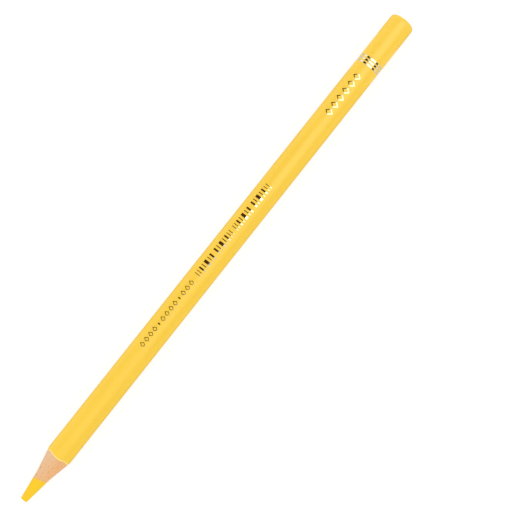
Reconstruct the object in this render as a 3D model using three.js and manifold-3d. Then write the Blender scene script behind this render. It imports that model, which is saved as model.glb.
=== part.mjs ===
// A round coloured pencil, sharpened, with a dipped rear end and stamped foil decoration.
// Millimetres, +Z up. The pencil lies on its side along X, with its writing tip towards -X.
// The origin is on the surface that the pencil lies on, under the middle of its length.

import * as THREE from "three";
import { mergeVertices } from "three/addons/utils/BufferGeometryUtils.js";
import Module from "manifold-3d";

const wasm = await Module();
wasm.setup();

// The whole pencil. The barrel is a prism with this many flats, and it rests on one of them.
const LENGTH = 175;
const SIDES = 24;

// Radii of the layers from the centre out, measured to the middle of a flat.
const CORE_R = 1.97;
const GROOVE_R = 2.02;
const WOOD_R = 3.6;
const PRIMER_R = 3.67;
const BARREL_R = 3.8;

// The two slats are glued together on the level plane through the axis.
const SEAM = 0.05;

// The sharpened point: a blunt tip, a slender cone, and from the bend on a steeper cone.
const TIP_R = 1.02;
const TIP_CHAMFER = 0.16;
const BEND_FROM_TIP = 9.1;
const BEND_R = 2.24;
const POINT_LENGTH = 16.1;

// The rear end: the wood is turned to a rounded shoulder, and the dip follows it with a wall of its own.
const DIP_END_WALL = 0.4;
const DIP_SHOULDER_LENGTH = 1.4;
const DIP_SHOULDER_DROP = 0.9;
const DIP_SIDE_WALL = BARREL_R - WOOD_R;
const SHOULDER_STEPS = 4;

// Foil is pressed into the colour coat, flush with it.
const FOIL_DEPTH = 0.03;
const FOIL_BED_R = BARREL_R - FOIL_DEPTH;
const RING_COUNT = 3;
const RING_WIDTH = 0.6;
const RING_PITCH = 0.975;
const FIRST_RING_FROM_TIP = 157.2;
const RAIL_WIDTH = 0.12;

// Each stamped mark: where it starts from the tip, its length along the barrel, its height round the
// barrel and how far its middle lies from the top line of the face that carries it.
const NAME_MARK = { start: 138.7, length: 15.2, height: 2.5, offset: 0.55 };
const BAR_MARK = { start: 79.8, length: 32.5, height: 2.3, offset: 0.9 };
const CODE_MARK = { start: 53.9, length: 24, height: 1.85, offset: 0.95 };
const TITLE_MARK = { start: 125.2, length: 27.4, height: 2.5, offset: 0.57 };
const EMBLEM_MARK = { start: 94.9, length: 14, height: 2.1, offset: 0.77 };

const dipStart = FIRST_RING_FROM_TIP + (RING_COUNT - 1) * RING_PITCH + RING_WIDTH;
const woodEnd = LENGTH - DIP_END_WALL;
const woodShoulderLength = DIP_SHOULDER_LENGTH - DIP_END_WALL;
const woodShoulderDrop = DIP_SHOULDER_DROP - DIP_SIDE_WALL;
const flatToCorner = Math.cos(Math.PI / SIDES);

// Mesh points closer than this are one point.
const WELD = 1e-4;

// Surface finishes
const finish = (color, roughness, metalness = 0) =>
  new THREE.MeshStandardMaterial({ color, roughness, metalness });
const pigment = () => finish(0xf9cb32, 0.62);
const limewood = () => finish(0xeebd8a, 0.75);
const glue = () => finish(0xe6d9b8, 0.6);
const primer = () => finish(0xf8eab0, 0.6);
const lacquer = () => finish(0xfcd352, 0.38);
const foil = () => finish(0xf2ecd8, 0.18, 1);

// The flank runs straight between these [distance from the tip, radius] corners.
const flankCorners = [
  [0, TIP_R],
  [BEND_FROM_TIP, BEND_R],
  [POINT_LENGTH, BARREL_R],
];

function flankDistance(radius) {
  const [start, end] = radius < BEND_R ? flankCorners : flankCorners.slice(1);
  return start[0] + ((end[0] - start[0]) * (radius - start[1])) / (end[1] - start[1]);
}

// Profile points [distance from the tip, radius] along the flank between two radii.
function flank(fromR, toR) {
  const bend = fromR < BEND_R && toR > BEND_R ? [BEND_R] : [];
  return [fromR, ...bend, toR].map((radius) => [flankDistance(radius), radius]);
}

// Profile points round a quarter of an ellipse, from full radius to the flat end.
function shoulder(end, radius, length, drop) {
  const points = [];
  for (let i = 0; i <= SHOULDER_STEPS; i++) {
    const turn = (i / SHOULDER_STEPS) * (Math.PI / 2);
    points.push([end - length * (1 - Math.sin(turn)), radius - drop * (1 - Math.cos(turn))]);
  }
  return points;
}

function toSolid(geometry) {
  geometry.deleteAttribute("normal");
  geometry.deleteAttribute("uv");
  const merged = mergeVertices(geometry, WELD);
  return new wasm.Manifold(
    new wasm.Mesh({
      numProp: 3,
      vertProperties: merged.attributes.position.array,
      triVerts: new Uint32Array(merged.index.array),
    }),
  );
}

function toGeometry(solid) {
  const { vertProperties, triVerts } = solid.getMesh();
  const indexed = new THREE.BufferGeometry();
  indexed.setAttribute("position", new THREE.BufferAttribute(vertProperties, 3));
  indexed.setIndex(new THREE.BufferAttribute(triVerts, 1));
  const geometry = indexed.toNonIndexed();
  geometry.computeVertexNormals();
  return geometry;
}

// Turns a profile of [distance from the tip, radius] points about the pencil's axis.
function turned(profile) {
  const points = profile.map(([along, radius]) => new THREE.Vector2(radius / flatToCorner, along));
  const geometry = new THREE.LatheGeometry(points, SIDES, Math.PI / SIDES);
  geometry.rotateZ(-Math.PI / 2);
  geometry.translate(-LENGTH / 2, 0, BARREL_R);
  return toSolid(geometry);
}

// A sleeve: an outer profile from front to rear, closed by a straight bore.
function sleeve(outer, boreR) {
  const front = flankDistance(boreR);
  const rear = outer[outer.length - 1][0];
  return turned([[front, boreR], ...outer, [rear, boreR], [front, boreR]]);
}

// A block longer than the pencil, between two heights and two places across it.
function block(fromY, toY, fromZ, toZ) {
  const geometry = new THREE.BoxGeometry(2 * LENGTH, toY - fromY, toZ - fromZ);
  geometry.translate(0, (fromY + toY) / 2, (fromZ + toZ) / 2);
  return toSolid(geometry);
}

// The core and the wood

function pigmentCore() {
  const tip = [
    [0, 0],
    [0, TIP_R - TIP_CHAMFER],
  ];
  const chamferEnd = TIP_R + (TIP_CHAMFER * (BEND_R - TIP_R)) / BEND_FROM_TIP;
  const cone = flank(chamferEnd, CORE_R);
  return turned([...tip, ...cone, [woodEnd, CORE_R], [woodEnd, 0]]);
}

function coreGlue() {
  return sleeve([...flank(CORE_R, GROOVE_R).slice(1), [woodEnd, GROOVE_R]], CORE_R);
}

function woodBlank() {
  const cone = flank(GROOVE_R, WOOD_R).slice(1);
  const rear = shoulder(woodEnd, WOOD_R, woodShoulderLength, woodShoulderDrop);
  return sleeve([...cone, ...rear], GROOVE_R);
}

function upperSlat() {
  const aboveSeam = block(-BARREL_R, BARREL_R, BARREL_R + SEAM / 2, 3 * BARREL_R);
  return woodBlank().intersect(aboveSeam);
}

function lowerSlat() {
  const belowSeam = block(-BARREL_R, BARREL_R, -BARREL_R, BARREL_R - SEAM / 2);
  return woodBlank().intersect(belowSeam);
}

// The seam between the slats is glued on each side of the core, so it is two long strips. The left
// one is on the +Y side.
function seamGlue(fromY, toY) {
  const seam = block(fromY, toY, BARREL_R - SEAM / 2, BARREL_R + SEAM / 2);
  return woodBlank().intersect(seam);
}

// The coats

function primerCoat() {
  const edge = flank(WOOD_R, PRIMER_R).slice(1);
  return sleeve([...edge, [woodEnd - woodShoulderLength, PRIMER_R]], WOOD_R);
}

function ringStart(index) {
  return FIRST_RING_FROM_TIP + index * RING_PITCH;
}

function foilRing(index) {
  const front = ringStart(index);
  const rear = front + RING_WIDTH;
  return turned([
    [front, FOIL_BED_R],
    [front, BARREL_R],
    [rear, BARREL_R],
    [rear, FOIL_BED_R],
    [front, FOIL_BED_R],
  ]);
}

// The colour coat with a groove for each ring. The last groove opens onto the dip.
function plainColourCoat() {
  const outer = flank(PRIMER_R, BARREL_R).slice(1);
  for (let i = 0; i < RING_COUNT; i++) {
    const front = ringStart(i);
    const rear = front + RING_WIDTH;
    outer.push([front, BARREL_R], [front, FOIL_BED_R], [rear, FOIL_BED_R]);
    if (i < RING_COUNT - 1) outer.push([rear, BARREL_R]);
  }
  return sleeve(outer, PRIMER_R);
}

function endDip() {
  const outer = shoulder(LENGTH, BARREL_R, DIP_SHOULDER_LENGTH, DIP_SHOULDER_DROP);
  const inner = shoulder(woodEnd, WOOD_R, woodShoulderLength, woodShoulderDrop).reverse();
  return turned([
    [dipStart, PRIMER_R],
    [dipStart, BARREL_R],
    ...outer,
    [LENGTH, 0],
    [woodEnd, 0],
    ...inner,
    [woodEnd - woodShoulderLength, PRIMER_R],
    [dipStart, PRIMER_R],
  ]);
}

// Stamped marks. Each is drawn flat, X along the barrel and Y across it, with plain ornament that
// spells and stands for nothing. A fine rail of foil joins its figures into one piece.

function polygon(corners) {
  return new THREE.Shape(corners.map(([x, y]) => new THREE.Vector2(x, y)));
}

function bar(x, width, bottom, top) {
  return polygon([
    [x, bottom],
    [x + width, bottom],
    [x + width, top],
    [x, top],
  ]);
}

function lozenge(x, y, width, height) {
  return polygon([
    [x - width / 2, y],
    [x, y - height / 2],
    [x + width / 2, y],
    [x, y + height / 2],
  ]);
}

function hollowLozenge(x, y, width, height, stroke) {
  const outline = lozenge(x, y, width, height);
  const inset = 1 - (2 * stroke * Math.hypot(width, height)) / (width * height);
  outline.holes.push(lozenge(x, y, width * inset, height * inset));
  return outline;
}

function star(x, y, radius, points) {
  const corners = [];
  for (let i = 0; i < 2 * points; i++) {
    const reach = i % 2 ? radius / 2 : radius;
    const turn = (i * Math.PI) / points;
    corners.push([x + reach * Math.cos(turn), y + reach * Math.sin(turn)]);
  }
  return polygon(corners);
}

function rail(length, y) {
  return bar(0, length, y - RAIL_WIDTH / 2, y + RAIL_WIDTH / 2);
}

// A row of open lozenges.
function nameFigures({ length, height }) {
  const count = 6;
  const stroke = 0.26;
  const inkedShare = 0.86;
  const width = (inkedShare * length) / count;
  const pitch = (length - width) / (count - 1);
  const figures = [rail(length, 0)];
  for (let i = 0; i < count; i++) {
    figures.push(hollowLozenge(width / 2 + i * pitch, 0, width, height, stroke));
  }
  return figures;
}

// Groups of thin and thick bars. Every other group runs backwards.
function barFigures({ length, height }) {
  const rhythm = [0.2, 0.2, 0.5, 0.25, 0.9, 0.25, 0.55];
  const groups = 4;
  const groupGap = 0.7;
  const ink = rhythm.reduce((sum, width) => sum + width, 0);
  const gap = (length - groups * ink - (groups - 1) * groupGap) / (groups * rhythm.length - 1);
  const figures = [rail(length, (RAIL_WIDTH - height) / 2)];
  let x = 0;
  for (let group = 0; group < groups; group++) {
    const widths = group % 2 ? [...rhythm].reverse() : rhythm;
    for (const width of widths) {
      figures.push(bar(x, width, -height / 2, height / 2));
      x += width + gap;
    }
    x += groupGap;
  }
  return figures;
}

// Runs of open lozenges with a small solid one after each run.
function codeFigures({ length, height }) {
  const count = 13;
  const run = 4;
  const stroke = 0.18;
  const pitch = length / count;
  const open = { width: pitch * 0.75, height };
  const solid = { width: pitch * 0.3, height: height * 0.6 };
  const figures = [rail(length, 0)];
  for (let i = 0; i < count; i++) {
    const middle = (i + 0.5) * pitch;
    if (i % (run + 1) === run) {
      figures.push(lozenge(middle, 0, solid.width, solid.height));
    } else {
      figures.push(hollowLozenge(middle, 0, open.width, open.height, stroke));
    }
  }
  return figures;
}

// Open lozenges in turn with pairs of short bars.
function titleFigures({ length, height }) {
  const count = 11;
  const stroke = 0.42;
  const pitch = length / count;
  const barTop = height * 0.35;
  const width = pitch * 0.8;
  const figures = [rail(length, 0)];
  for (let i = 0; i < count; i++) {
    const middle = (i + 0.5) * pitch;
    if (i % 2) {
      figures.push(bar(middle - 1.5 * stroke, stroke, -barTop, barTop));
      figures.push(bar(middle + 0.5 * stroke, stroke, -barTop, barTop));
    } else {
      figures.push(hollowLozenge(middle, 0, width, height, stroke));
    }
  }
  return figures;
}

// A star with a row of dashes behind it.
function emblemFigures({ length, height }) {
  const dashes = 5;
  const starPoints = 8;
  const starSpace = height * 1.1;
  const pitch = (length - starSpace) / dashes;
  const dash = { width: pitch * 0.75, height: height * 0.5 };
  const figures = [rail(length, 0), star(starSpace / 2, 0, height / 2, starPoints)];
  for (let i = 0; i < dashes; i++) {
    figures.push(lozenge(starSpace + (i + 0.5) * pitch, 0, dash.width, dash.height));
  }
  return figures;
}

// Raises a mark's figures into one prism that stands on the pencil's axis and passes out of its top.
function markPrism(mark, figures) {
  const prisms = figures(mark).map((shape) => {
    const geometry = new THREE.ExtrudeGeometry(shape, { depth: 2 * BARREL_R, bevelEnabled: false });
    geometry.translate(mark.start - LENGTH / 2, mark.offset, BARREL_R);
    return toSolid(geometry);
  });
  return prisms.reduce((joined, prism) => joined.add(prism));
}

// The same prism turned half round, for the face that is underneath.
function turnedUnder(prism) {
  const half = new THREE.Matrix4().makeRotationX(Math.PI);
  const matrix = new THREE.Matrix4().makeTranslation(0, 0, BARREL_R).multiply(half);
  matrix.multiply(new THREE.Matrix4().makeTranslation(0, 0, -BARREL_R));
  const geometry = toGeometry(prism).applyMatrix4(matrix);
  return toSolid(geometry);
}

function shell(innerR, outerR) {
  return turned([
    [POINT_LENGTH, innerR],
    [POINT_LENGTH, outerR],
    [FIRST_RING_FROM_TIP, outerR],
    [FIRST_RING_FROM_TIP, innerR],
    [POINT_LENGTH, innerR],
  ]);
}

const marks = {
  name_foil: markPrism(NAME_MARK, nameFigures),
  bar_foil: markPrism(BAR_MARK, barFigures),
  code_foil: markPrism(CODE_MARK, codeFigures),
  title_foil: turnedUnder(markPrism(TITLE_MARK, titleFigures)),
  emblem_foil: turnedUnder(markPrism(EMBLEM_MARK, emblemFigures)),
};

// Cuts a pocket for each mark out of the coat, right through its surface.
function colourCoat() {
  const pockets = shell(FOIL_BED_R, BARREL_R + FOIL_DEPTH);
  return Object.values(marks).reduce(
    (coat, prism) => coat.subtract(prism.intersect(pockets)),
    plainColourCoat(),
  );
}

// Assembly

const pencil = new THREE.Group();
pencil.name = "coloured_pencil";

function add(name, solid, material) {
  const mesh = new THREE.Mesh(toGeometry(solid), material);
  mesh.name = name;
  pencil.add(mesh);
}

add("pigment_core", pigmentCore(), pigment());
add("core_glue", coreGlue(), glue());
add("upper_slat", upperSlat(), limewood());
add("lower_slat", lowerSlat(), limewood());
add("seam_glue_left", seamGlue(0, BARREL_R), glue());
add("seam_glue_right", seamGlue(-BARREL_R, 0), glue());
add("primer_coat", primerCoat(), primer());
add("colour_coat", colourCoat(), lacquer());
add("end_dip", endDip(), lacquer());
for (let i = 0; i < RING_COUNT; i++) add(`foil_ring_${i + 1}`, foilRing(i), foil());
for (const [name, prism] of Object.entries(marks)) {
  add(name, prism.intersect(shell(FOIL_BED_R, BARREL_R)), foil());
}

export default pencil;
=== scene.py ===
"""A round coloured pencil on a white table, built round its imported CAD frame.

Metres, +Z up. The pencil lies along X with its writing tip towards -X. Lengths are written as
millimetres times MM, and places along the pencil are distances from its tip. An angle round the
barrel is 0 at the top and grows towards +Y.
"""

import math

import bmesh
import bpy
import numpy as np
from mathutils import Matrix, Vector


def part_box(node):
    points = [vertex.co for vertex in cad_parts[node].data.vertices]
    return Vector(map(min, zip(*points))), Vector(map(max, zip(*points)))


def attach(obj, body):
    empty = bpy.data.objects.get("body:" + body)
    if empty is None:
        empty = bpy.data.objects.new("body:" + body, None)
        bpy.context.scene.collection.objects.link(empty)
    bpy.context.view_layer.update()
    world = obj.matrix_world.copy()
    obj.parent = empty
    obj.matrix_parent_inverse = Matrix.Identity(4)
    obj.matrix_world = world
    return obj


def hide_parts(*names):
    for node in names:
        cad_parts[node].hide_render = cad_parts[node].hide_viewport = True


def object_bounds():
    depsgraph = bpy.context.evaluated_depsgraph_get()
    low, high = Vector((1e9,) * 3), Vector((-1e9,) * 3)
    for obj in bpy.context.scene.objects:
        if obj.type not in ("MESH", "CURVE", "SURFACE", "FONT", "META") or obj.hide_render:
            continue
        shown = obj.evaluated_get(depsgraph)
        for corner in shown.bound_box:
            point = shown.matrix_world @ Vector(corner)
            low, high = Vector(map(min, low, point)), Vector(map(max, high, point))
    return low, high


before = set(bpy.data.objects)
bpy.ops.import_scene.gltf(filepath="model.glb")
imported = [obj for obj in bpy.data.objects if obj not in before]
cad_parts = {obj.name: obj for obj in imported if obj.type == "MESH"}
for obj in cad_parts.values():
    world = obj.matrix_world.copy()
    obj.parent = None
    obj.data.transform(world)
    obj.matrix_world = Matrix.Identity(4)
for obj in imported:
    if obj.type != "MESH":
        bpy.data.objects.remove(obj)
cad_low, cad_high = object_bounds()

MM = 0.001


# Sizes, read from the frame


def radius_of(node):
    """How far a node reaches above the pencil's axis."""
    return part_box(node)[1].z - AXIS_Z


def front_of(node):
    """Where a node starts, from the tip."""
    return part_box(node)[0].x - cad_low.x


def rear_of(node):
    """Where a node ends, from the tip."""
    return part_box(node)[1].x - cad_low.x


AXIS_Z = (cad_low.z + cad_high.z) / 2
LENGTH = cad_high.x - cad_low.x
BARREL_R = cad_high.z - AXIS_Z
CORE_R = radius_of("pigment_core")
GROOVE_R = radius_of("core_glue")
WOOD_R = radius_of("upper_slat")
PRIMER_R = radius_of("primer_coat")
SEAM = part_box("seam_glue_left")[1].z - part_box("seam_glue_left")[0].z

WOOD_END = rear_of("upper_slat")
DIP_START = front_of("end_dip")
RINGS = ["foil_ring_1", "foil_ring_2", "foil_ring_3"]
TOP_FACE, UNDER_FACE = 1, -1

# The sharpened flank is a slender cone and then a steeper one. Each is the straight line through two
# places where a layer starts on it.
FRONT_CONE = np.polyfit([front_of("core_glue"), front_of("upper_slat")], [CORE_R, GROOVE_R], 1)
REAR_CONE = np.polyfit([front_of("primer_coat"), front_of("colour_coat")], [WOOD_R, PRIMER_R], 1)

# Sizes that only the looks need
COLUMNS = 256
TUBE_ROWS = 12
BARREL_ROWS = 60
DIP_ROWS = 8
WAVE_SAMPLES = 721
FLANK_SAMPLES = 1200
BEHIND_CONE = 1 * MM
BEFORE_RING = 1 * MM
BEFORE_SHOULDER = 0.2 * MM
BEHIND_LIP = 4 * MM
WELD = 1e-5 * MM
CREASE = math.radians(35)
TIP_WEAR = 0.17 * MM
TIP_DENT = 0.035 * MM
CHATTER = 0.0035 * MM
CHATTER_PITCH = 0.42 * MM
FLANK_STEP = 0.1 * MM
CORE_OFFSET = 0.07 * MM
CORE_OFFSET_TOWARDS = math.radians(-80)
GLUE_LIP = 0.004 * MM
BEND_SOFTNESS = 0.04 * MM
PAINT_SCALLOP = 0.045 * MM
PAINT_WAVER = 0.014 * MM
PAINT_EDGE_ROUND = 0.05 * MM
BROW_LENGTH = 0.45 * MM
SHOULDER_LENGTH = 1.4 * MM
SHOULDER_DROP = 0.9 * MM
SHOULDER_STEPS = 14
DIP_LIP = 0.012 * MM
DIP_CROWN = 0.14 * MM
GROOVE_DEPTH = 0.02 * MM
FOIL_RECESS = 0.006 * MM
FOIL_PROUD = 0.008 * MM
FOIL_THICKNESS = 0.03 * MM
FOIL_CELL = 0.12 * MM
RING_CROWN = 0.01 * MM
SEAM_LAYERS = 4


# The camera and the light


def make_camera():
    """Nearly straight above the barrel, with the tip at the lower left of the frame."""
    aim = Vector((7.07 * MM, -8.66 * MM, AXIS_Z))
    distance = 433.4 * MM
    tilt = math.radians(4.874)
    turn = math.radians(51.67)
    looking = Vector((math.sin(tilt), 0, -math.cos(tilt)))
    along = Vector((math.cos(tilt), 0, math.sin(tilt)))
    across = looking.cross(along) * -1
    right = along * math.cos(turn) - across * math.sin(turn)
    up = along * math.sin(turn) + across * math.cos(turn)
    data = bpy.data.cameras.new("camera")
    data.lens = 106.5
    data.sensor_width = 36
    data.clip_start = 0.01
    data.clip_end = 20
    camera = bpy.data.objects.new("camera", data)
    axes = Matrix((right, up, -looking)).transposed()
    camera.matrix_world = Matrix.Translation(aim - looking * distance) @ axes.to_4x4()
    bpy.context.scene.collection.objects.link(camera)
    bpy.context.scene.camera = camera


def make_world(radiance):
    world = bpy.data.worlds.new("white_room")
    world.use_nodes = True
    background = world.node_tree.nodes["Background"]
    background.inputs["Color"].default_value = (1, 1, 1, 1)
    background.inputs["Strength"].default_value = radiance
    bpy.context.scene.world = world
    bpy.context.scene.view_settings.view_transform = "Standard"


def matt_material(name, colour, roughness=1.0, specular=0.0):
    """A plain surface for the stage."""
    material = bpy.data.materials.new(name)
    material.use_nodes = True
    shader = material.node_tree.nodes["Principled BSDF"]
    shader.inputs["Base Color"].default_value = (*colour, 1)
    shader.inputs["Roughness"].default_value = roughness
    shader.inputs["Specular IOR Level"].default_value = specular
    return material


def stage_object(name, corners, faces, material):
    """A sheet that belongs to the stage and not to the pencil."""
    mesh = bpy.data.meshes.new(name)
    mesh.from_pydata(corners, [], faces)
    mesh.materials.append(material)
    made = bpy.data.objects.new(name, mesh)
    bpy.context.scene.collection.objects.link(made)
    return made


def reflector(name, corners, faces, colour):
    """A card that only shows in reflections."""
    card = stage_object(name, corners, faces, matt_material(name, colour))
    card.visible_camera = False
    card.visible_diffuse = False
    card.visible_shadow = False


def make_floor():
    """A white light table: a pale sheet that glows a little from below."""
    half = 4.0
    gap = 0.02 * MM
    material = matt_material("light_table", (0.2, 0.2, 0.2), roughness=0.9, specular=0.1)
    shader = material.node_tree.nodes["Principled BSDF"]
    shader.inputs["Emission Color"].default_value = (1, 1, 1, 1)
    shader.inputs["Emission Strength"].default_value = 0.82
    corners = [(-half, -half, -gap), (half, -half, -gap), (half, half, -gap), (-half, half, -gap)]
    stage_object("table", corners, [(0, 1, 2, 3)], material)


def make_flag(name, stretches):
    """A long dark card beside the camera, which makes a dark glint in polished foil.

    It is given as places along X, each with the two angles round the barrel's axis between which the
    card lies there.
    """
    reach = 0.35
    dark_brown = (0.09, 0.042, 0.02)
    corners = []
    for x, *angles in stretches:
        for turn in np.radians(angles):
            corners.append((x, reach * math.sin(turn), AXIS_Z + reach * math.cos(turn)))
    faces = [(i, i + 1, i + 3, i + 2) for i in range(0, len(corners) - 2, 2)]
    reflector(name, corners, faces, dark_brown)


def make_shade(name, side, reach, grey):
    """A grey strip on the table along the barrel, which keeps the table's glow off the barrel's edge.

    It reaches out to a number of barrel radii, and leaves the table's glow on the foil rings.
    """
    inner_edge = 0.8
    height = 0.05 * MM
    before_rings = (0, front_of(RINGS[0]) - 2 * MM)
    behind_rings = (rear_of(RINGS[-1]) + 9 * MM, LENGTH + BARREL_R)
    corners = []
    for start, end in (before_rings, behind_rings):
        for distance, y in ((start, inner_edge), (end, inner_edge), (end, reach), (start, reach)):
            corners.append((cad_low.x + distance, side * y * BARREL_R, height))
    reflector(name, corners, [(0, 1, 2, 3), (4, 5, 6, 7)], (grey, grey, grey))


def make_soft_light(name, angle, reach, x, size, radiance):
    """A soft box that faces the pencil and only shows as a sheen on it. The size is (along X, across)."""
    turn = math.radians(angle)
    data = bpy.data.lights.new(name, "AREA")
    data.shape = "RECTANGLE"
    data.size, data.size_y = size
    data.energy = radiance * math.pi * size[0] * size[1]
    light = bpy.data.objects.new(name, data)
    light.location = (x, reach * math.sin(turn), AXIS_Z + reach * math.cos(turn))
    light.rotation_euler = (-turn, 0, 0)
    light.visible_camera = False
    light.visible_diffuse = False
    bpy.context.scene.collection.objects.link(light)


# Materials. Their textures work in millimetres.


class Look:
    """A Principled material that is built up from small texture steps."""

    def __init__(self, name, **constants):
        self.material = bpy.data.materials.new(name)
        self.material.use_nodes = True
        self.tree = self.material.node_tree
        self.shader = self.tree.nodes["Principled BSDF"]
        for socket, value in constants.items():
            self.shader.inputs[socket.replace("_", " ")].default_value = value
        self.place = self.tree.nodes.new("ShaderNodeTexCoord").outputs["Object"]

    def add(self, kind, links=(), **settings):
        node = self.tree.nodes.new(kind)
        for name, value in settings.items():
            if hasattr(node, name):
                setattr(node, name, value)
            else:
                node.inputs[name.replace("_", " ").title()].default_value = value
        for socket, source in links:
            self.tree.links.new(source, node.inputs[socket])
        return node

    def stretched(self, x=1.0, y=1.0, z=1.0):
        """Coordinates in millimetres, with each axis squeezed by its factor."""
        scale = (x / MM, y / MM, z / MM)
        return self.add("ShaderNodeMapping", [("Vector", self.place)], scale=scale).outputs[0]

    def noise(self, vector, scale, detail=3.0, roughness=0.5, distortion=0.0):
        node = self.add(
            "ShaderNodeTexNoise",
            [("Vector", vector)],
            scale=scale,
            detail=detail,
            roughness=roughness,
            distortion=distortion,
        )
        return node.outputs[0]

    def cells(self, vector, scale):
        """The distance to the nearest of many scattered points."""
        return self.add("ShaderNodeTexVoronoi", [("Vector", vector)], scale=scale).outputs[0]

    def ramp(self, factor, *stops):
        """Colours or numbers at places from 0 to 1."""
        node = self.add("ShaderNodeValToRGB", [("Fac", factor)])
        elements = node.color_ramp.elements
        while len(elements) < len(stops):
            elements.new(0.5)
        for element, (position, value) in zip(elements, stops):
            element.position = position
            element.color = (*value, 1) if hasattr(value, "__len__") else (value, value, value, 1)
        return node.outputs[0]

    def blend(self, factor, first, second):
        """The second colour over the first, by a factor from 0 to 1."""
        links = [(0, factor), (6, first), (7, second)]
        return self.add("ShaderNodeMix", links, data_type="RGBA").outputs[2]

    def multiplied(self, first, second):
        links = [(6, first), (7, second)]
        node = self.add("ShaderNodeMix", links, data_type="RGBA", blend_type="MULTIPLY")
        node.inputs[0].default_value = 1
        return node.outputs[2]

    def maths(self, operation, first, second):
        node = self.add("ShaderNodeMath", operation=operation)
        for index, value in enumerate((first, second)):
            if isinstance(value, (int, float)):
                node.inputs[index].default_value = value
            else:
                self.tree.links.new(value, node.inputs[index])
        return node.outputs[0]

    def colour(self, source):
        self.tree.links.new(source, self.shader.inputs["Base Color"])

    def roughness(self, source):
        self.tree.links.new(source, self.shader.inputs["Roughness"])

    def relief(self, *layers):
        """Bumps, each given as (height, its depth in metres)."""
        normal = None
        for height, depth in layers:
            bump = self.add("ShaderNodeBump", [("Height", height)])
            bump.inputs["Strength"].default_value = 1
            bump.inputs["Distance"].default_value = depth
            if normal:
                self.tree.links.new(normal, bump.inputs["Normal"])
            normal = bump.outputs[0]
        self.tree.links.new(normal, self.shader.inputs["Normal"])


def lacquer_look():
    """Satin yellow lacquer, drawn on along the barrel in several thin coats."""
    look = Look("yellow_lacquer", Specular_IOR_Level=0.75)
    cloud = look.noise(look.stretched(x=0.12), 0.6, detail=2)
    look.colour(look.ramp(cloud, (0.3, (0.895, 0.558, 0.009)), (0.7, (0.915, 0.578, 0.016))))
    drawn = look.noise(look.stretched(x=0.05), 3.2, detail=4)
    look.roughness(look.ramp(drawn, (0.3, 0.42), (0.7, 0.5)))
    peel = look.noise(look.stretched(), 1.8, detail=2)
    look.relief((drawn, 0.002 * MM), (peel, 0.004 * MM))
    return look.material


def primer_look():
    """Pale undercoat, which shows as a fine line where the sharpener has cut the paint."""
    look = Look("pale_primer", Roughness=0.6)
    grain = look.noise(look.stretched(), 3.0, detail=4)
    look.colour(look.ramp(grain, (0.3, (0.92, 0.67, 0.17)), (0.7, (0.94, 0.75, 0.27))))
    look.relief((grain, 0.006 * MM))
    return look.material


def wood_look(name, offset):
    """Limewood: pale, fine and straight in the grain, with small darker pores and flecks, and a painted
    highlight along its +Y side.
    """
    look = Look(name, Specular_IOR_Level=0.25)
    along = look.stretched(x=0.11)
    shifted = look.add("ShaderNodeVectorMath", [(0, along)], operation="ADD")
    shifted.inputs[1].default_value = (offset, 0.37 * offset, 0)
    fibres = look.noise(shifted.outputs[0], 4.2, detail=6, roughness=0.62, distortion=0.25)
    bands = look.noise(shifted.outputs[0], 0.9, detail=2)
    across = look.add("ShaderNodeSeparateXYZ", [(0, look.stretched())]).outputs["Y"]
    # The tone follows the grain bands and also grows paler towards +Y and more orange towards -Y; this
    # side-to-side change is a painted highlight along the +Y side of the casing.
    grain_tone_and_painted_side_highlight = look.maths("ADD", look.maths("MULTIPLY", across, 0.14), bands)
    tint = look.ramp(
        grain_tone_and_painted_side_highlight,
        (0.1, (0.79, 0.42, 0.185)),
        (0.5, (0.79, 0.456, 0.218)),
        (0.95, (0.77, 0.5, 0.31)),
    )
    shade = look.ramp(fibres, (0.25, (0.82, 0.77, 0.7)), (0.48, (1, 1, 1)), (0.8, (1.05, 1.05, 1.05)))
    pores = look.cells(look.stretched(x=0.6), 0.8)
    fleck = look.ramp(pores, (0.1, 0.85), (0.2, 0.0))
    dark = look.ramp(fibres, (0.0, (0.42, 0.18, 0.06)), (1.0, (0.52, 0.25, 0.09)))
    look.colour(look.blend(fleck, look.multiplied(tint, shade), dark))
    look.roughness(look.ramp(fibres, (0.2, 0.85), (0.8, 0.62)))
    look.relief((fibres, 0.02 * MM), (pores, 0.006 * MM))
    return look.material


def pigment_look():
    """Waxy pigment, a little polished where the sharpener has passed."""
    look = Look("yellow_pigment", Specular_IOR_Level=0.22)
    patch = look.noise(look.stretched(), 0.8, detail=3, distortion=0.4)
    grit = look.noise(look.stretched(), 5.5, detail=5, roughness=0.7)
    tint = look.ramp(
        patch,
        (0.33, (0.88, 0.58, 0.008)),
        (0.55, (0.91, 0.56, 0.014)),
        (0.72, (0.93, 0.54, 0.024)),
    )
    shade = look.ramp(grit, (0.28, (0.86, 0.82, 0.8)), (0.45, (1, 1, 1)))
    look.colour(look.multiplied(tint, shade))
    look.roughness(look.ramp(grit, (0.3, 0.62), (0.7, 0.44)))
    look.relief((grit, 0.01 * MM), (patch, 0.02 * MM))
    return look.material


def glue_look():
    """Dried glue, stained by the pigment that it touches."""
    look = Look("dried_glue", Roughness=0.5)
    cloud = look.noise(look.stretched(), 2.0, detail=3)
    look.colour(look.ramp(cloud, (0.3, (0.78, 0.42, 0.09)), (0.7, (0.82, 0.48, 0.14))))
    look.relief((cloud, 0.01 * MM))
    return look.material


def foil_look():
    """Polished warm silver foil, hot stamped, so it is nearly flat but not quite."""
    look = Look("silver_foil", Metallic=1.0)
    press = look.noise(look.stretched(), 0.9, detail=2)
    crinkle = look.noise(look.stretched(), 6.0, detail=3)
    look.colour(look.ramp(press, (0.3, (0.6, 0.51, 0.31)), (0.7, (0.64, 0.55, 0.35))))
    look.roughness(look.ramp(crinkle, (0.3, 0.06), (0.7, 0.12)))
    look.relief((press, 0.008 * MM), (crinkle, 0.0008 * MM))
    return look.material


# Shapes


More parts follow.
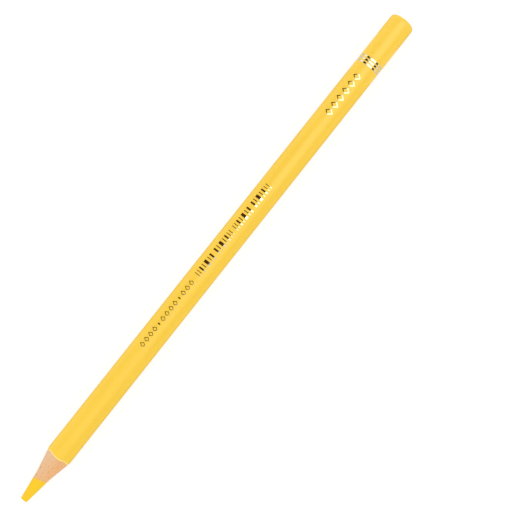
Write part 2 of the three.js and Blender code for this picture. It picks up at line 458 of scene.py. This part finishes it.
def wave(angles, size, seed, lobes):
    """A smooth wave round the barrel, at most the given size."""
    random = np.random.default_rng(seed)
    sizes = random.normal(size=len(lobes)) / np.sqrt(lobes)
    phases = random.uniform(0, 2 * math.pi, len(lobes))

    def at(angle):
        return sum(s * np.cos(n * angle + p) for n, s, p in zip(lobes, sizes, phases))

    whole = np.linspace(0, 2 * math.pi, WAVE_SAMPLES)
    return size * at(angles) / np.abs(at(whole)).max()


def core_radius(angles):
    """The core is a little off the axis."""
    return CORE_R + CORE_OFFSET * np.cos(angles - CORE_OFFSET_TOWARDS)


def groove_radius(angles):
    return core_radius(angles) + GROOVE_R - CORE_R


def wood_radius(angles):
    """The turned wood isn't quite round, so the sharpener meets the paint along a wavy line."""
    return WOOD_R - PAINT_SCALLOP * np.cos(4 * angles) + wave(angles, PAINT_WAVER, 4, range(3, 17))


def primer_radius(angles):
    return wood_radius(angles) + PRIMER_R - WOOD_R + wave(angles, PAINT_WAVER / 3, 5, range(5, 25))


def barrel_radius(angles):
    return np.full_like(angles, BARREL_R)


def flank_radius(distance, angles):
    """The sharpened surface: two cones, a soft bend, and the fine spiral that the blade leaves."""
    chatter = CHATTER * np.sin(2 * math.pi * distance / CHATTER_PITCH + angles)
    front, rear = (np.polyval(cone, distance) / BEND_SOFTNESS for cone in (FRONT_CONE, REAR_CONE))
    return BEND_SOFTNESS * np.logaddexp(front, rear) + chatter


def flank_distance(radius, angles):
    """Where the sharpened surface reaches a radius, for each angle."""
    table = np.linspace(0, 1.2 * front_of("colour_coat"), FLANK_SAMPLES)
    found = [np.interp(r, flank_radius(table, a), table) for r, a in zip(radius, angles)]
    return np.array(found)


def row(distance, radius):
    """One row of [distance, radius] stations round the axis. Either may be one number for them all."""
    return np.stack(np.broadcast_arrays(distance, radius), axis=-1)


def flank_stations(start, end, angles):
    """Rows on the sharpened surface between two limits, which may be wavy."""
    count = max(2, round((end - start).max() / FLANK_STEP))
    shares = np.linspace(0, 1, count + 1)[:, None]
    distance = start + (end - start) * shares
    return row(distance, flank_radius(distance, angles))


def straight_stations(distances, radius):
    """Rows at given distances, at a radius that may vary with the angle."""
    return np.array([row(distance, radius) for distance in distances])


def placed(stations, angles):
    """Points in the frame for [distance, radius] stations."""
    distance, radius = stations[..., 0], stations[..., 1]
    x = cad_low.x + distance
    y = radius * np.sin(angles)
    z = AXIS_Z + radius * np.cos(angles)
    return np.stack([x, y, z], axis=-1)


def shaded_object(name, work):
    """A mesh object from a bmesh, with its faces pointing out and smooth shading up to a crease."""
    bmesh.ops.recalc_face_normals(work, faces=work.faces)
    mesh = bpy.data.meshes.new(name)
    work.to_mesh(mesh)
    work.free()
    mesh.shade_smooth()
    mesh.set_sharp_from_angle(angle=CREASE)
    made = bpy.data.objects.new(name, mesh)
    bpy.context.scene.collection.objects.link(made)
    return made


def solid_object(name, points, faces):
    """A mesh object from points and faces. Points that meet become one."""
    work = bmesh.new()
    corners = [work.verts.new(point) for point in points]
    for face in faces:
        work.faces.new([corners[index] for index in face])
    bmesh.ops.remove_doubles(work, verts=work.verts, dist=WELD)
    return shaded_object(name, work)


def turned(name, loop, angles, full=True):
    """A closed solid: a closed loop of rows turned round the axis, or part of the way."""
    points = placed(loop, angles)
    rows, columns = loop.shape[:2]
    on_axis = loop[:, :, 1].max(axis=1) < WELD

    def index(i, column):
        return (i % rows) * columns + column % columns

    faces = []
    for i in range(rows):
        if on_axis[i] and on_axis[(i + 1) % rows]:
            continue
        for column in range(columns if full else columns - 1):
            ahead, beside = i + 1, column + 1
            places = ((i, column), (i, beside), (ahead, beside), (ahead, column))
            faces.append([index(*place) for place in places])
    if not full:
        for i in range(rows // 2 - 1):
            for column in (0, columns - 1):
                strip = (i, i + 1, rows - 2 - i, rows - 1 - i)
                faces.append([index(place, column) for place in strip])
    return solid_object(name, points.reshape(-1, 3), faces)


def whole_turn():
    return np.arange(COLUMNS) * (2 * math.pi / COLUMNS)


def wall(outer, radius):
    """A closed loop: out along the outer rows and back at the bore's radius."""
    bore = row(outer[..., 0], radius)
    return np.concatenate([outer, bore[::-1]])


def rows_behind(cone_end, rear, rows=TUBE_ROWS):
    """Distances for the straight part of a layer, behind its wavy end on the flank."""
    return np.linspace(cone_end.max() + BEHIND_CONE, rear, rows)


def make_core():
    """Full length, cut nearly square at the tip and worn round its edge."""
    angles = whole_turn()
    face_r = flank_radius(TIP_WEAR, angles) - TIP_WEAR
    dents = wave(angles, TIP_DENT, 11, range(2, 9))
    face = []
    for share in (0, 0.35, 0.7, 0.9):
        face.append(row(TIP_DENT * 0.5 + dents * share * (1 - share), face_r * share))
    edge = []
    for turn in np.linspace(0, math.pi / 2, 6)[:-1]:
        edge.append(row(TIP_WEAR - TIP_WEAR * math.cos(turn), face_r + TIP_WEAR * math.sin(turn)))
    limit = flank_distance(core_radius(angles), angles)
    cone = flank_stations(TIP_WEAR, limit, angles)
    rod = straight_stations(rows_behind(limit, WOOD_END), core_radius(angles))
    end = straight_stations([WOOD_END], np.zeros(COLUMNS))
    return turned("pigment_core_rod", np.concatenate([face, edge, cone, rod, end]), angles)


def sleeve_stations(angles, outer_radius, bore_radius, rear):
    """The outside of a layer, which starts as a sharp edge on the flank."""
    start = flank_distance(bore_radius + GLUE_LIP, angles)
    limit = flank_distance(outer_radius, angles)
    cone = flank_stations(start, limit, angles)
    tube = straight_stations(rows_behind(limit, rear), outer_radius)
    return np.concatenate([cone, tube])


def make_core_glue():
    angles = whole_turn()
    outer = sleeve_stations(angles, groove_radius(angles), core_radius(angles), WOOD_END)
    return turned("core_glue_film", wall(outer, core_radius(angles)), angles)


def shoulder_stations(end, radius, length, drop):
    """Rows round the shoulder of the rear end, from full radius to the flat."""
    rows = []
    for turn in np.linspace(0, math.pi / 2, SHOULDER_STEPS)[1:]:
        distance = end - length * (1 - math.sin(turn))
        rows.append(row(distance, radius - drop * (1 - math.cos(turn))))
    return np.array(rows)


def wood_shoulder(radius):
    """The wood's own rounded end, inside the dip."""
    length = SHOULDER_LENGTH - (LENGTH - WOOD_END)
    drop = SHOULDER_DROP - (BARREL_R - WOOD_R)
    return shoulder_stations(WOOD_END, radius, length, drop)


def make_slat(name, side):
    """Half of the casing, with its sharpened face, its groove and its glued faces."""
    middle = 0 if side == TOP_FACE else math.pi
    shares = np.linspace(-1, 1, COLUMNS // 2 + 1)
    angles = shares * math.pi / 2 + middle
    wood_r, groove_r = wood_radius(angles), groove_radius(angles)
    shoulder = wood_shoulder(wood_r)
    tube_end = shoulder[0, 0, 0] - BEFORE_SHOULDER
    outer = np.concatenate([sleeve_stations(angles, wood_r, groove_r, tube_end), shoulder])
    loop = wall(outer, groove_r)
    half_turn = np.pi / 2 - np.arcsin(SEAM / 2 / loop[..., 1])
    return turned(name, loop, shares * half_turn + middle, full=False)


def make_seam(name, side):
    """A strip of glue between the slats, from the groove out to the surface."""
    angles = np.array([side * math.pi / 2])
    wood_r, groove_r = wood_radius(angles), groove_radius(angles)
    sleeve = sleeve_stations(angles, wood_r, groove_r, WOOD_END - SHOULDER_LENGTH)
    outer = np.concatenate([sleeve, wood_shoulder(wood_r)])
    outline = wall(outer, groove_r)[:, 0]
    rows = len(outline)
    points, faces = [], []
    for level in np.linspace(-SEAM / 2, SEAM / 2, SEAM_LAYERS + 1):
        for distance, radius in outline:
            points.append((cad_low.x + distance, side * radius, AXIS_Z + level))
    for layer in range(SEAM_LAYERS):
        low, high = layer * rows, (layer + 1) * rows
        for i in range(rows):
            ahead = (i + 1) % rows
            faces.append((low + i, low + ahead, high + ahead, high + i))
    for base in (0, SEAM_LAYERS * rows):
        for i in range(len(outer) - 1):
            faces.append([base + place for place in (i, i + 1, rows - 2 - i, rows - 1 - i)])
    return solid_object(name, points, faces)


def make_primer():
    angles = whole_turn()
    rear = LENGTH - SHOULDER_LENGTH
    outer = sleeve_stations(angles, primer_radius(angles), wood_radius(angles), rear)
    return turned("primer_sleeve", wall(outer, wood_radius(angles)), angles)


def groove_stations(ring, radius):
    """A shallow groove with soft edges, for one foil ring."""
    front, rear = front_of(ring), rear_of(ring)
    ease = 0.03 * MM
    profile = (
        (front - ease, 0),
        (front, 0.4),
        (front + ease, 1),
        (rear - ease, 1),
        (rear, 0.4),
        (rear + ease, 0),
    )
    return np.array([row(distance, radius - GROOVE_DEPTH * depth) for distance, depth in profile])


def make_coat():
    """The lacquer: a cut edge on the flank, the barrel, and a groove for each ring."""
    angles = whole_turn()
    outer_r = barrel_radius(angles)
    start = flank_distance(primer_radius(angles) + GLUE_LIP, angles)
    limit = flank_distance(outer_r - PAINT_EDGE_ROUND, angles)
    cut = flank_stations(start, limit, angles)
    brow = []
    for share in (0.3, 0.6, 0.85, 1):
        rise = PAINT_EDGE_ROUND * math.sqrt(1 - (1 - share) ** 2)
        brow.append(row(limit + BROW_LENGTH * share, outer_r - PAINT_EDGE_ROUND + rise))
    barrel_end = front_of(RINGS[0]) - BEFORE_RING
    barrel = straight_stations(rows_behind(limit, barrel_end, BARREL_ROWS), outer_r)
    grooves = np.concatenate([groove_stations(ring, outer_r) for ring in RINGS])
    open_onto_dip = grooves[:-2]
    outer = np.concatenate([cut, brow, barrel, open_onto_dip])
    return turned("lacquer_coat", wall(outer, primer_radius(angles)), angles)


def make_dip():
    """The dipped end: a soft lip behind the last ring, a rounded shoulder and a faint drip mark."""
    angles = whole_turn()
    outer_r = barrel_radius(angles)
    shoulder_start = LENGTH - SHOULDER_LENGTH
    lip_profile = ((0, -1), (0.06, 0.2), (0.2, 0.9), (0.5, 1), (1, 0.7), (1.8, 0.2), (2.6, 0))
    lip = []
    for distance, height in lip_profile:
        lip.append(row(DIP_START + distance * MM, outer_r + DIP_LIP * height))
    behind_lip = np.linspace(DIP_START + BEHIND_LIP, shoulder_start, DIP_ROWS)
    straight = straight_stations(behind_lip, outer_r)
    shoulder = shoulder_stations(LENGTH - DIP_CROWN, outer_r, SHOULDER_LENGTH - DIP_CROWN, SHOULDER_DROP)
    flat_r = outer_r - SHOULDER_DROP
    crown = []
    for share in np.linspace(0.9, 0, 10):
        dome = 0.8 * (1 - share**2)
        drip = 0.2 * math.exp(-((share / 0.2) ** 2))
        swell = DIP_CROWN * (dome + drip)
        crown.append(row(LENGTH - DIP_CROWN + swell, flat_r * share))
    outside = np.concatenate([lip, straight, shoulder, crown])
    over_primer = straight_stations([DIP_START, shoulder_start], primer_radius(angles))
    over_wood = wood_shoulder(wood_radius(angles))
    middle = straight_stations([WOOD_END], np.zeros(COLUMNS))
    inside = np.concatenate([over_primer, over_wood, middle])
    return turned("dipped_end", np.concatenate([outside, inside[::-1]]), angles)


def make_ring(name, ring):
    """A band of foil in its groove, very slightly crowned."""
    angles = whole_turn()
    front, rear = front_of(ring), rear_of(ring)
    profile = ((0, 1), (0.03, 0.3), (0.12, 0.05), (0.5, 0), (0.88, 0.05), (0.97, 0.3), (1, 1))
    outer = []
    for share, drop in profile:
        height = barrel_radius(angles) - FOIL_RECESS - RING_CROWN * drop
        outer.append(row(front + (rear - front) * share, height))
    return turned(name, wall(np.array(outer), BARREL_R - FOIL_THICKNESS), angles)


# Stamped ornament: flat figures, X along the barrel and Y across it. They spell and stand for
# nothing.


def bar(x, width, bottom, top):
    return [[(x, bottom), (x + width, bottom), (x + width, top), (x, top)]]


def lozenge_corners(x, y, width, height):
    return [(x - width / 2, y), (x, y - height / 2), (x + width / 2, y), (x, y + height / 2)]


def lozenge(x, y, width, height):
    return [lozenge_corners(x, y, width, height)]


def hollow_lozenge(x, y, width, height, stroke):
    """Four strokes round an open middle."""
    inset = 1 - 2 * stroke * math.hypot(width, height) / (width * height)
    outside = lozenge_corners(x, y, width, height)
    inside = lozenge_corners(x, y, width * inset, height * inset)
    strokes = []
    for i in range(4):
        ahead = (i + 1) % 4
        strokes.append([outside[i], outside[ahead], inside[ahead], inside[i]])
    return strokes


def star(x, y, radius, points):
    """A star, as one kite for each of its points."""
    kites = []
    step = math.pi / points
    for i in range(points):
        turn = 2 * i * step
        kite = [(x, y)]
        for bend, reach in ((-step, radius / 2), (0, radius), (step, radius / 2)):
            kite.append((x + reach * math.cos(turn + bend), y + reach * math.sin(turn + bend)))
        kites.append(kite)
    return kites


def name_figures(length, height):
    """A row of open lozenges."""
    count = 6
    stroke = 0.26 * MM
    inked_share = 0.86
    width = inked_share * length / count
    pitch = (length - width) / (count - 1)
    figures = []
    for i in range(count):
        figures += hollow_lozenge(width / 2 + i * pitch, 0, width, height, stroke)
    return figures


def bar_figures(length, height):
    """Groups of thin and thick bars. Every other group runs backwards."""
    rhythm = [0.2, 0.2, 0.5, 0.25, 0.9, 0.25, 0.55]
    groups = 4
    group_gap = 0.7 * MM
    ink = sum(rhythm) * MM
    gap = (length - groups * ink - (groups - 1) * group_gap) / (groups * len(rhythm) - 1)
    figures = []
    x = 0
    for group in range(groups):
        widths = rhythm[::-1] if group % 2 else rhythm
        for width in widths:
            figures += bar(x, width * MM, -height / 2, height / 2)
            x += width * MM + gap
        x += group_gap
    return figures


def code_figures(length, height):
    """Runs of open lozenges with a small solid one after each run."""
    count = 13
    run = 4
    stroke = 0.18 * MM
    pitch = length / count
    open_width = pitch * 0.75
    solid_width, solid_height = pitch * 0.3, height * 0.6
    figures = []
    for i in range(count):
        middle = (i + 0.5) * pitch
        if i % (run + 1) == run:
            figures += lozenge(middle, 0, solid_width, solid_height)
        else:
            figures += hollow_lozenge(middle, 0, open_width, height, stroke)
    return figures


def title_figures(length, height):
    """Open lozenges in turn with pairs of short bars."""
    count = 11
    stroke = 0.42 * MM
    pitch = length / count
    bar_top = height * 0.35
    width = pitch * 0.8
    figures = []
    for i in range(count):
        middle = (i + 0.5) * pitch
        if i % 2:
            figures += bar(middle - 1.5 * stroke, stroke, -bar_top, bar_top)
            figures += bar(middle + 0.5 * stroke, stroke, -bar_top, bar_top)
        else:
            figures += hollow_lozenge(middle, 0, width, height, stroke)
    return figures


def emblem_figures(length, height):
    """A star with a row of dashes behind it."""
    dashes = 5
    star_points = 8
    star_space = height * 1.1
    pitch = (length - star_space) / dashes
    dash_width, dash_height = pitch * 0.75, height * 0.5
    figures = star(star_space / 2, 0, height / 2, star_points)
    for i in range(dashes):
        figures += lozenge(star_space + (i + 0.5) * pitch, 0, dash_width, dash_height)
    return figures


def flat_plates(outlines, height):
    """A mark's figures as flat faces, cut across often enough to curve well round the barrel."""
    work = bmesh.new()
    for outline in outlines:
        work.faces.new([work.verts.new((x, y, 0)) for x, y in outline])
    bmesh.ops.remove_doubles(work, verts=work.verts, dist=10 * WELD)
    for level in np.arange(-height / 2 + FOIL_CELL, height / 2, FOIL_CELL):
        everything = work.verts[:] + work.edges[:] + work.faces[:]
        bmesh.ops.bisect_plane(work, geom=everything, plane_co=(0, level, 0), plane_no=(0, 1, 0))
    bmesh.ops.recalc_face_normals(work, faces=work.faces)
    return work


def close_plates(work):
    """Copies the flat faces for an underside, joins the two all round and gives the copy's points."""
    copy = bmesh.ops.duplicate(work, geom=work.faces[:])
    under = [f for f in copy["geom"] if isinstance(f, bmesh.types.BMFace)]
    under_verts = {v for f in under for v in f.verts}
    rims = [(e, copy["edge_map"][e]) for e in work.edges if e in copy["edge_map"] and e.is_boundary]
    sides = [(e, partner) for e, partner in rims if e not in copy["geom"]]
    for edge, partner in sides:
        first, second = edge.verts
        third, fourth = partner.verts
        if (first.co - third.co).length > (first.co - fourth.co).length:
            third, fourth = fourth, third
        work.faces.new((first, second, fourth, third))
    return under_verts


def make_mark(name, node, figures, face):
    """Lays a mark's figures on the barrel as thin curved plates of foil."""
    low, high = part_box(node)
    height = high.y - low.y
    middle = (low.y + high.y) / 2
    work = flat_plates(figures(high.x - low.x, height), height)
    under_verts = close_plates(work)
    for vert in work.verts:
        radius = BARREL_R + FOIL_PROUD - (FOIL_THICKNESS if vert in under_verts else 0)
        y = middle + face * vert.co.y
        vert.co = (low.x + vert.co.x, y, AXIS_Z + face * math.sqrt(radius**2 - y**2))
    return shaded_object(name, work)


# Assembly


def fit(piece, node, material):
    """The piece stands for a CAD node, moves with the pencil and gets its finish."""
    piece.data.materials.append(material)
    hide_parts(node)
    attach(piece, "root")


def build():
    pigment, glue, primer = pigment_look(), glue_look(), primer_look()
    lacquer, foil = lacquer_look(), foil_look()
    fit(make_core(), "pigment_core", pigment)
    fit(make_core_glue(), "core_glue", glue)
    upper_wood, lower_wood = wood_look("limewood_upper", 0.0), wood_look("limewood_lower", 17.0)
    fit(make_slat("upper_casing", TOP_FACE), "upper_slat", upper_wood)
    fit(make_slat("lower_casing", UNDER_FACE), "lower_slat", lower_wood)
    fit(make_seam("left_seam", 1), "seam_glue_left", glue)
    fit(make_seam("right_seam", -1), "seam_glue_right", glue)
    fit(make_primer(), "primer_coat", primer)
    fit(make_coat(), "colour_coat", lacquer)
    fit(make_dip(), "end_dip", lacquer)
    for ring in RINGS:
        fit(make_ring(ring.replace("foil_ring", "ring_band"), ring), ring, foil)
    marks = [
        ("name_stamp", "name_foil", name_figures, TOP_FACE),
        ("bar_stamp", "bar_foil", bar_figures, TOP_FACE),
        ("code_stamp", "code_foil", code_figures, TOP_FACE),
        ("title_stamp", "title_foil", title_figures, UNDER_FACE),
        ("emblem_stamp", "emblem_foil", emblem_figures, UNDER_FACE),
    ]
    for name, node, figures, face in marks:
        fit(make_mark(name, node, figures, face), node, foil)


make_camera()
make_world(radiance=1.1)
make_floor()
make_soft_light("softbox", angle=-9, reach=0.76, x=0.33, size=(0.5, 0.7), radiance=2.15)
make_soft_light("left_light", angle=75, reach=0.5, x=0.22, size=(0.2, 0.26), radiance=0.5)
make_soft_light("right_light", angle=-78, reach=0.5, x=0.22, size=(0.2, 0.2), radiance=0.25)
make_shade("left_shade", side=1, reach=2.4, grey=0.2)
make_shade("right_shade", side=-1, reach=8, grey=0.45)
make_flag("left_flag", [(-0.055, 8, 66), (0.06, 16, 66), (0.12, 27, 57), (0.3, 49, 57)])
make_flag("right_flag", [(-0.3, -42, -85), (0.08, -42, -85), (0.12, -42, -64), (0.3, -42, -64)])
build()
